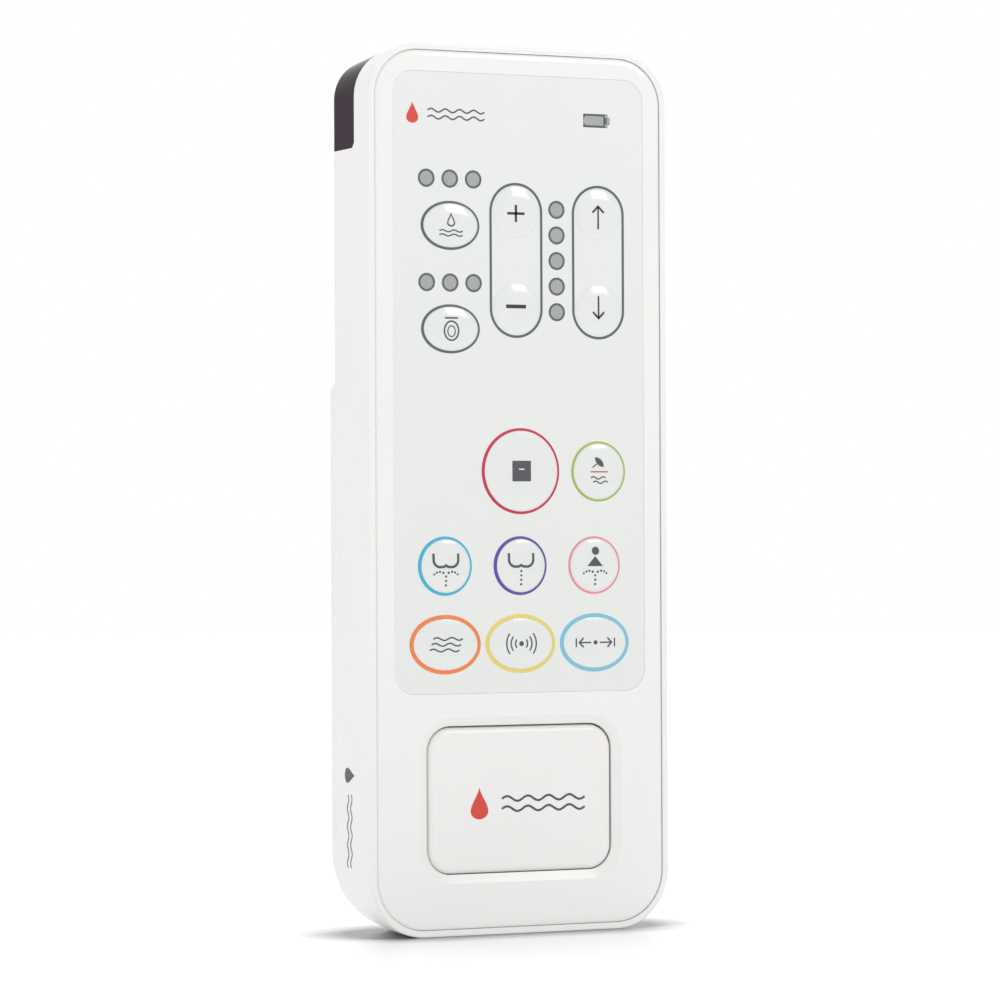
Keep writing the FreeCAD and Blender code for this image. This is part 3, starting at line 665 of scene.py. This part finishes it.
def seated_outline(pen, top):
    """Line of a seated person's lower back, seen from behind, with a notch in the middle."""
    half, height, corner, line = 2.75 * MM, 2.75 * MM, 1.45 * MM, 0.52 * MM
    bottom = top - height
    left = arc(-half + corner, bottom + corner, corner, 180, 270, 10)
    right = arc(half - corner, bottom + corner, corner, 270, 360, 10)
    notch = [(-0.45 * MM, bottom + 0.05 * MM), (0, bottom + 0.32 * MM), (0.45 * MM, bottom + 0.05 * MM)]
    pen.line([(-half, top), *left, *notch, *right, (half, top)], line)


def spray(pen, top, count, fan):
    """Row of drops rising to top, which fan out to both sides at the top."""
    step, radius = 0.9 * MM, 0.24 * MM
    for i in range(count):
        pen.dot(0, top - i * step, radius)
    for side in (-1, 1) if fan else ():
        for reach, rise in ((0.6, 0.75), (1.37, 0.95), (2.03, 0.8), (2.6, 0.43)):
            pen.dot(side * reach * MM, top + rise * MM, radius * (1.1 - 0.08 * reach))


def wash_symbol(pen):
    seated_outline(pen, 2.55 * MM)
    spray(pen, -2.1 * MM, 3, True)


def rear_wash_symbol(pen):
    seated_outline(pen, 2.55 * MM)
    spray(pen, -1.1 * MM, 4, False)


def front_wash_symbol(pen):
    pen.dot(0.1 * MM, 2.95 * MM, 0.84 * MM)
    pen.area([(-1.78 * MM, -0.2 * MM), (1.78 * MM, -0.2 * MM), (0, 1.85 * MM)])
    spray(pen, -2.1 * MM, 3, True)


def water_symbol(pen):
    """Drop over two ripples, for the water's warmth."""
    outline = drop_outline(0, 0.75 * MM, 1.05 * MM)
    inner = drop_outline(0, 0.75 * MM, 0.72 * MM)
    pen.band(outline, inner)
    for level in (-1.15, -2.0):
        pen.line(wave(-2.6 * MM, 2.6 * MM, level * MM, 0.2 * MM, 2), 0.26 * MM)


def seat_symbol(pen):
    """Seat ring seen from above, with its hinge bar."""
    pen.band(ellipse(1.75 * MM, 2.1 * MM, 40, 0, -0.4 * MM), ellipse(1.42 * MM, 1.77 * MM, 40, 0, -0.4 * MM))
    pen.band(ellipse(0.95 * MM, 1.2 * MM, 40, 0, -0.5 * MM), ellipse(0.72 * MM, 0.97 * MM, 40, 0, -0.5 * MM))
    pen.bar(0, 2.2 * MM, 2.9 * MM, 0.34 * MM)


def eco_symbol(pen):
    """Leaf above the line and a curl of fresh air below it."""
    leaf = (arc(-0.75 * MM, 1.75 * MM, 1.9 * MM, -48, 48, 12)
            + arc(1.79 * MM, 1.75 * MM, 1.9 * MM, 132, 228, 12))
    pen.area([(0.7 * (x - 0.5 * MM) - 0.7 * (z - 1.75 * MM), 0.7 * (x - 0.5 * MM) + 0.7 * (z - 1.75 * MM)
               + 1.9 * MM) for x, z in leaf])
    pen.line([(-1.6 * MM, 0.75 * MM), (-0.6 * MM, 1.5 * MM)], 0.24 * MM)
    for level, shift in ((-1.35, -0.25), (-2.25, 0.25)):
        pen.line(wave((-1.7 + shift) * MM, (1.7 + shift) * MM, level * MM, 0.24 * MM, 1.5), 0.26 * MM)


def eco_rule(pen):
    pen.bar(0, -0.1 * MM, 4.1 * MM, 0.24 * MM)


def air_dry_symbol(pen):
    """Three streams of air."""
    for level, shift in ((1.15, 0.4), (0.0, 0.0), (-1.15, -0.4)):
        pen.line(wave((-3.3 + shift) * MM, (3.3 + shift) * MM, level * MM, 0.28 * MM, 2), 0.3 * MM)


def massage_symbol(pen):
    """Pulsing point between arcs."""
    pen.dot(0, 0, 0.52 * MM)
    for radius in (1.35, 2.35, 3.35):
        for start in (-38, 142):
            pen.line(arc(0, 0, radius * MM, start, start + 76), 0.3 * MM)


def oscillate_symbol(pen):
    """Spray point that moves to and fro between two arrow heads."""
    pen.dot(0, 0, 0.45 * MM)
    for side in (-1, 1):
        barb, tip, stop = side * 2.75 * MM, side * 3.7 * MM, side * 4.4 * MM
        pen.line([(side * 1.0 * MM, 0), (side * 3.6 * MM, 0)], 0.3 * MM)
        pen.line([(barb, 0.95 * MM), (tip, 0), (barb, -0.95 * MM)], 0.34 * MM)
        pen.line([(stop, -0.9 * MM), (stop, 0.9 * MM)], 0.3 * MM)


# key: drawing, ink, and how far right and up of the key's centre it is printed, in millimetres
SYMBOLS = {
    "water_key": (water_symbol, "symbol", 0, 0),
    "seat_key": (seat_symbol, "symbol", 0, 0),
    "plus_key": (plus_symbol, "mark", -0.25, -0.3),
    "minus_key": (minus_symbol, "mark", -0.3, 0.4),
    "up_key": (up_symbol, "mark", -0.2, -0.66),
    "down_key": (down_symbol, "mark", -0.2, 0.62),
    "stop_key": (stop_symbol, "symbol", 0, 0),
    "eco_key": (eco_symbol, "symbol", 0, 0),
    "wash_key": (wash_symbol, "symbol", 0, 0),
    "rear_wash_key": (rear_wash_symbol, "symbol", 0, 0),
    "front_wash_key": (front_wash_symbol, "symbol", 0, 0),
    "air_dry_key": (air_dry_symbol, "symbol", 0, 0),
    "massage_key": (massage_symbol, "symbol", 0, 0),
    "oscillate_key": (oscillate_symbol, "symbol", 0, 0),
}


class REMOTE_OT_key_symbols(bpy.types.Operator):
    """Print a plain symbol on every key"""
    bl_idname = "remote.key_symbols"
    bl_label = "Key Symbols"

    def execute(self, context):
        colours = looks().colours
        inks = {"symbol": printed_ink("symbol_ink", colours.symbol),
                "mark": printed_ink("mark_ink", colours.mark)}
        for node, (draw, ink, right, up) in SYMBOLS.items():
            self.print_on_key(node, node.replace("_key", "_symbol"), draw, inks[ink], right * MM, up * MM)
        self.print_on_key("eco_key", "eco_rule", eco_rule, printed_ink("rule_ink", colours.crimson), 0, 0)
        return {"FINISHED"}

    def print_on_key(self, node, name, draw, ink, right, up):
        cap, pen = Cap(node), Pen()
        draw(pen)
        pen.mesh.transform(Matrix.Translation((right, 0, up)))
        pen.finish(name, facing(cap.centre, cap.front), ink, node, "key_film")


# ---- lamps ----------------------------------------------------------------------------------
class REMOTE_OT_lamps(bpy.types.Operator):
    """Finish the light guides and print their rings and the battery outline"""
    bl_idname = "remote.lamps"
    bl_label = "Indicator Lamps"

    def execute(self, context):
        colours = looks().colours
        finish_nodes(self.smoked_guide(colours.lamp),
                     "water_lamps", "seat_lamps", "level_lamps", "battery_lamp")
        ink = printed_ink("lamp_ring_ink", colours.slate)
        for node, count in (("water_lamps", 3), ("seat_lamps", 3), ("level_lamps", 5)):
            self.ring_lamps(node, count, ink)
        self.battery_outline(ink)
        return {"FINISHED"}

    def smoked_guide(self, colour):
        finish = Finish("smoked_light_guide", colour, 0.3, coat=0.5, glow=0.1)
        finish.mottle(0.6 * MM, 0.04).smudge(1 * MM, 0.25, 0.38)
        return finish.grain(0.3 * MM, 0.004 * MM, 0.4).material

    def ring_lamps(self, node, count, ink):
        """One ring round each lamp of a straight row or column."""
        sizes = looks().sizes
        low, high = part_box(node)
        radius = min(high.x - low.x, high.z - low.z) / 2
        first = Vector((low.x + radius, 0, low.z + radius))
        last = Vector((high.x - radius, 0, high.z - radius))
        pen = Pen()
        for i in range(count):
            place = first.lerp(last, i / (count - 1))
            pen.band(ellipse(sizes.lamp_radius, sizes.lamp_radius, 40, place.x, place.z),
                     ellipse(sizes.lamp_radius - sizes.lamp_line, sizes.lamp_radius - sizes.lamp_line, 40,
                             place.x, place.z))
        pen.finish(node.replace("_lamps", "_lamp_rings"), facing(Vector(), on_label), ink, "case",
                   "label_film")

    def battery_outline(self, ink):
        """Outline of a small battery round its light guide, open in the middle of its left end."""
        low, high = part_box("battery_lamp")
        line, nub = 0.34 * MM, 1.0 * MM
        half_height = (high.z - low.z) / 2
        half_width = (high.x - low.x - nub) / 2
        left, right = line / 2 - half_width, half_width - line / 2
        edge, gap = half_height - line / 2, 0.5 * half_height
        pen = Pen()
        upper = [(left, gap), (left, edge), (right, edge)]
        lower = [(right, -edge), (left, -edge), (left, -gap)]
        pen.line(upper + lower, line)
        pen.bar(half_width + 0.2 * MM, 0, 0.5 * MM, 0.9 * half_height)
        centre = Vector((low.x + half_width, 0, (low.z + high.z) / 2))
        pen.finish("battery_outline", facing(centre, on_label), ink, "case", "label_film")


# ---- plain marks in place of lettering ---------------------------------------------------------
class REMOTE_OT_marks(bpy.types.Operator):
    """Print plain marks, a drop and two ripples, on the label, the large key and the left side"""
    bl_idname = "remote.marks"
    bl_label = "Drop Marks"

    def execute(self, context):
        drop = printed_ink("drop_ink", looks().colours.drop)
        grey = printed_ink("ripple_ink", looks().colours.symbol)
        corner = Vector((LABEL_LOW.x + 4.4 * MM, 0, LABEL_HIGH.z - 8.6 * MM))
        middle = (PANEL_LOW + PANEL_HIGH) / 2 - Vector((9.4 * MM, 0, 0.9 * MM))
        side = Vector((0, FACE_Y + 10.6 * MM, 32.6 * MM))
        self.mark("corner", 1.55 * MM, facing(corner, on_label), "case", "label_film", drop, grey)
        self.mark("panel", 2.3 * MM, facing(middle, lambda x, z: PANEL_LOW.y), "panel_key", "panel_white",
                  drop, grey)
        self.mark("side", 1.8 * MM, down_left_side(side), "case", "case_white", grey, grey)
        return {"FINISHED"}

    def mark(self, name, radius, lay, body, slot, drop_ink, ripple_ink):
        """Drop with two long ripples beside it."""
        pen = Pen()
        pen.area(drop_outline(0, -0.3 * radius, radius))
        pen.finish(f"{name}_drop", lay, drop_ink, body, slot)
        pen = Pen()
        for level in (-0.45, 0.45):
            pen.line(wave(2.2 * radius, 10.4 * radius, level * radius, 0.22 * radius, 4, 80), 0.2 * radius)
        pen.finish(f"{name}_ripples", lay, ripple_ink, body, slot)


# ---- case and inner pieces ------------------------------------------------------------------------
class REMOTE_OT_case(bpy.types.Operator):
    """Finish the case, label, window, large key and battery door"""
    bl_idname = "remote.case"
    bl_label = "Case"

    def execute(self, context):
        colours = looks().colours
        finish_nodes(gloss_plastic("case_gloss_white", colours.case, 0.2, 0.9 * MM),
                     "front_cover", "rear_shell", "battery_door")
        finish_nodes(gloss_plastic("panel_satin_white", colours.panel, 0.32, 0.7 * MM), "panel_key")
        finish_nodes(label_film("label_satin_film", colours.label), "label")
        finish_nodes(dark_window("window_dark_acrylic", colours.window), "infrared_window")
        return {"FINISHED"}


class REMOTE_OT_inside(bpy.types.Operator):
    """Finish the rubber mat, board, its parts, the cells, contacts and screws"""
    bl_idname = "remote.inside"
    bl_label = "Inner Pieces"

    def execute(self, context):
        finish_nodes(rubber("mat_silicone", (0.78, 0.79, 0.8)), "key_mat", "panel_pad")
        finish_nodes(rubber("pad_carbon", (0.08, 0.08, 0.08)), "contact_pads")
        finish_nodes(circuit_board("board_green_mask", (0.1, 0.36, 0.2)), "main_board")
        finish_nodes(moulded_black("chip_epoxy", (0.1, 0.1, 0.11)), "controller_chip", "emitter_driver")
        finish_nodes(moulded_black("capacitor_sleeve", (0.12, 0.12, 0.2)), "capacitor")
        finish_nodes(domed_film("led_phosphor", (0.93, 0.9, 0.7)), "board_leds")
        finish_nodes(dark_window("emitter_tinted_epoxy", (0.5, 0.52, 0.66)), "infrared_emitters")
        finish_nodes(bright_metal("crystal_can", (0.78, 0.78, 0.78), 0.25, (1, 1, 6)), "crystal")
        finish_nodes(bright_metal("contact_nickel", (0.82, 0.81, 0.78), 0.22, (6, 1, 1)),
                     "contact_plates", "contact_springs")
        finish_nodes(bright_metal("screw_zinc", (0.68, 0.69, 0.7), 0.3, (1, 5, 1)),
                     "case_screws", "board_screws")
        finish_nodes(cell_jacket("cell_jacket_down", "battery_left", False), "battery_left")
        finish_nodes(cell_jacket("cell_jacket_up", "battery_right", True), "battery_right")
        return {"FINISHED"}


# ---- studio -------------------------------------------------------------------------------------------
# lights: where each stands from the remote's middle, and its width and height
SOFTBOX_PLACE, SOFTBOX_SIZE = Vector((0.32, -0.53, 0.37)), (0.2, 0.28)
STRIP_PLACE, STRIP_SIZE = Vector((-0.63, -0.3, 0.05)), (0.05, 0.5)
TOP_LIGHT_SPREAD, TOP_LIGHT_TILT, TOP_LIGHT_TURN = math.radians(28), math.radians(-14), math.radians(-20)
# floor: radii of its rings, how far out from the foot the shadow painted into its colour reaches, and the
# darkest that painted shadow gets
FLOOR_RADII = (0.3, 1.0, 3.0)
PAINTED_SHADOW_REACH, PAINTED_SHADOW_DARKEST = 18 * MM, 0.1


class REMOTE_OT_studio(bpy.types.Operator):
    """Set up the pale floor with a shadow painted round the remote's foot, the soft lights and the camera"""
    bl_idname = "remote.studio"
    bl_label = "Studio"

    def execute(self, context):
        studio = looks().studio
        self.pale_floor()
        self.surround(context.scene, studio)
        middle = (CAD_LOW + CAD_HIGH) / 2
        self.softbox("softbox", middle + SOFTBOX_PLACE, SOFTBOX_SIZE, studio.softbox, middle)
        self.softbox("side_strip", middle + STRIP_PLACE, STRIP_SIZE, studio.strip, middle)
        self.top_light(studio.top_light)
        self.camera(context.scene, studio)
        context.scene.view_settings.view_transform = "Standard"
        return {"FINISHED"}

    def pale_floor(self):
        """Large smooth disc under the remote, with a shadow painted into its colour round the remote's foot.
        """
        mesh = bmesh.new()
        rings = [ellipse(radius, radius, 64) for radius in FLOOR_RADII]
        rows = join_loops(mesh, [[(x, y, CAD_LOW.z) for x, y in ring] for ring in rings])
        close_with_fan(mesh, rows[0][::-1], (0, 0, CAD_LOW.z))
        data = bpy.data.meshes.new("studio_floor")
        mesh.to_mesh(data)
        mesh.free()
        finish = Finish("floor_acrylic_with_painted_shadow", (1.0, 1.0, 1.0), 0.22)
        finish.shader.inputs["Specular IOR Level"].default_value = 0.3
        # paint a shadow into the floor's colour round the remote's foot
        self.painted_foot_shadow(finish, looks().studio.floor_white)
        data.materials.append(finish.smudge(0.2, 0.2, 0.26).material)
        floor = bpy.data.objects.new("studio_floor", data)
        bpy.context.scene.collection.objects.link(floor)

    def painted_foot_shadow(self, finish, white):
        """Painted shadow: darkens the floor's colour by how much the remote's foot hides the surround from
        it, for camera rays only, so the floor's light on the case stays as it was.
        """
        # painted shade: the floor's occlusion by the remote, mapped into its base colour
        hidden = finish.tree.nodes.new("ShaderNodeAmbientOcclusion")
        hidden.samples = 32
        hidden.inputs["Distance"].default_value = PAINTED_SHADOW_REACH
        shade = finish.tree.nodes.new("ShaderNodeMapRange")
        shade.inputs["From Min"].default_value = 0.55
        shade.inputs["From Max"].default_value = 0.88
        shade.inputs["To Min"].default_value = PAINTED_SHADOW_DARKEST
        shade.inputs["To Max"].default_value = white
        # only camera rays see the painted shadow; light that the floor sends onto the case keeps the plain
        # white
        seen = finish.tree.nodes.new("ShaderNodeLightPath")
        painted_shadow_pick = finish.tree.nodes.new("ShaderNodeMix")
        painted_shadow_pick.inputs["A"].default_value = white
        finish.link(hidden.outputs["AO"], shade.inputs["Value"])
        finish.link(seen.outputs["Is Camera Ray"], painted_shadow_pick.inputs["Factor"])
        finish.link(shade.outputs["Result"], painted_shadow_pick.inputs["B"])
        finish.link(painted_shadow_pick.outputs["Result"], finish.shader.inputs["Base Color"])

    def surround(self, scene, studio):
        """White surround that is brighter overhead than at eye level."""
        world = bpy.data.worlds.new("white_surround")
        world.use_nodes = True
        tree = world.node_tree
        background = tree.nodes["Background"]
        direction = tree.nodes.new("ShaderNodeTexCoord")
        split = tree.nodes.new("ShaderNodeSeparateXYZ")
        climb = tree.nodes.new("ShaderNodeMapRange")
        climb.inputs["From Min"].default_value = 0.15
        climb.inputs["From Max"].default_value = 0.9
        climb.inputs["To Min"].default_value = studio.horizon
        climb.inputs["To Max"].default_value = studio.overhead
        background.inputs["Color"].default_value = (1.0, 1.0, 1.0, 1.0)
        tree.links.new(direction.outputs["Generated"], split.inputs["Vector"])
        tree.links.new(split.outputs["Z"], climb.inputs["Value"])
        tree.links.new(climb.outputs["Result"], background.inputs["Strength"])
        scene.world = world

    def softbox(self, name, place, size, power, aim):
        """Rectangular area light of a width and a height."""
        data = bpy.data.lights.new(name, "AREA")
        data.shape = "RECTANGLE"
        data.size, data.size_y = size
        data.energy = power
        lamp = bpy.data.objects.new(name, data)
        lamp.location = place
        lamp.rotation_euler = (aim - place).to_track_quat("-Z", "Y").to_euler()
        bpy.context.scene.collection.objects.link(lamp)

    def top_light(self, strength):
        """Broad light from above and a little behind, which lays a soft shadow at the remote's foot."""
        data = bpy.data.lights.new("top_light", "SUN")
        data.energy = strength
        data.angle = TOP_LIGHT_SPREAD
        lamp = bpy.data.objects.new("top_light", data)
        lamp.rotation_euler = (TOP_LIGHT_TILT, 0, TOP_LIGHT_TURN)
        bpy.context.scene.collection.objects.link(lamp)

    def camera(self, scene, studio):
        """Camera turned to the object's left and looking very slightly up."""
        forward = Vector((math.sin(studio.turn) * math.cos(studio.rise),
                          math.cos(studio.turn) * math.cos(studio.rise), math.sin(studio.rise)))
        level = Vector((math.cos(studio.turn), -math.sin(studio.turn), 0))
        upright = level.cross(forward)
        right = math.cos(studio.roll) * level + math.sin(studio.roll) * upright
        up = math.cos(studio.roll) * upright - math.sin(studio.roll) * level
        aim = Vector((studio.aim_x, FACE_Y, studio.aim_z))
        data = bpy.data.cameras.new("studio_camera")
        data.lens = studio.lens
        data.clip_end = 20.0
        camera = bpy.data.objects.new("studio_camera", data)
        axes = Matrix((right, up, -forward)).transposed().to_4x4()
        camera.matrix_world = Matrix.Translation(aim - forward * studio.distance) @ axes
        scene.collection.objects.link(camera)
        scene.camera = camera


# ---- panel, registration and run ---------------------------------------------------------------------------
OPERATORS = (REMOTE_OT_studio, REMOTE_OT_case, REMOTE_OT_inside, REMOTE_OT_key_caps, REMOTE_OT_key_rings,
             REMOTE_OT_key_symbols, REMOTE_OT_lamps, REMOTE_OT_marks)


class REMOTE_PT_looks(bpy.types.Panel):
    """Lists the steps that dress the remote"""
    bl_idname = "REMOTE_PT_looks"
    bl_label = "Remote Looks"
    bl_space_type = "VIEW_3D"
    bl_region_type = "UI"
    bl_category = "Remote"

    def draw(self, context):
        for step in OPERATORS:
            self.layout.operator(step.bl_idname)


CLASSES = (RemoteSizes, RemoteColours, RemoteStudio, RemoteLooks, *OPERATORS, REMOTE_PT_looks)


def register():
    for item in CLASSES:
        bpy.utils.register_class(item)
    bpy.types.Scene.remote_looks = PointerProperty(type=RemoteLooks)


def unregister():
    del bpy.types.Scene.remote_looks
    for item in reversed(CLASSES):
        bpy.utils.unregister_class(item)


def main():
    register()
    for step in OPERATORS:
        group, name = step.bl_idname.split(".")
        getattr(getattr(bpy.ops, group), name)()


if __name__ == "__main__":
    main()
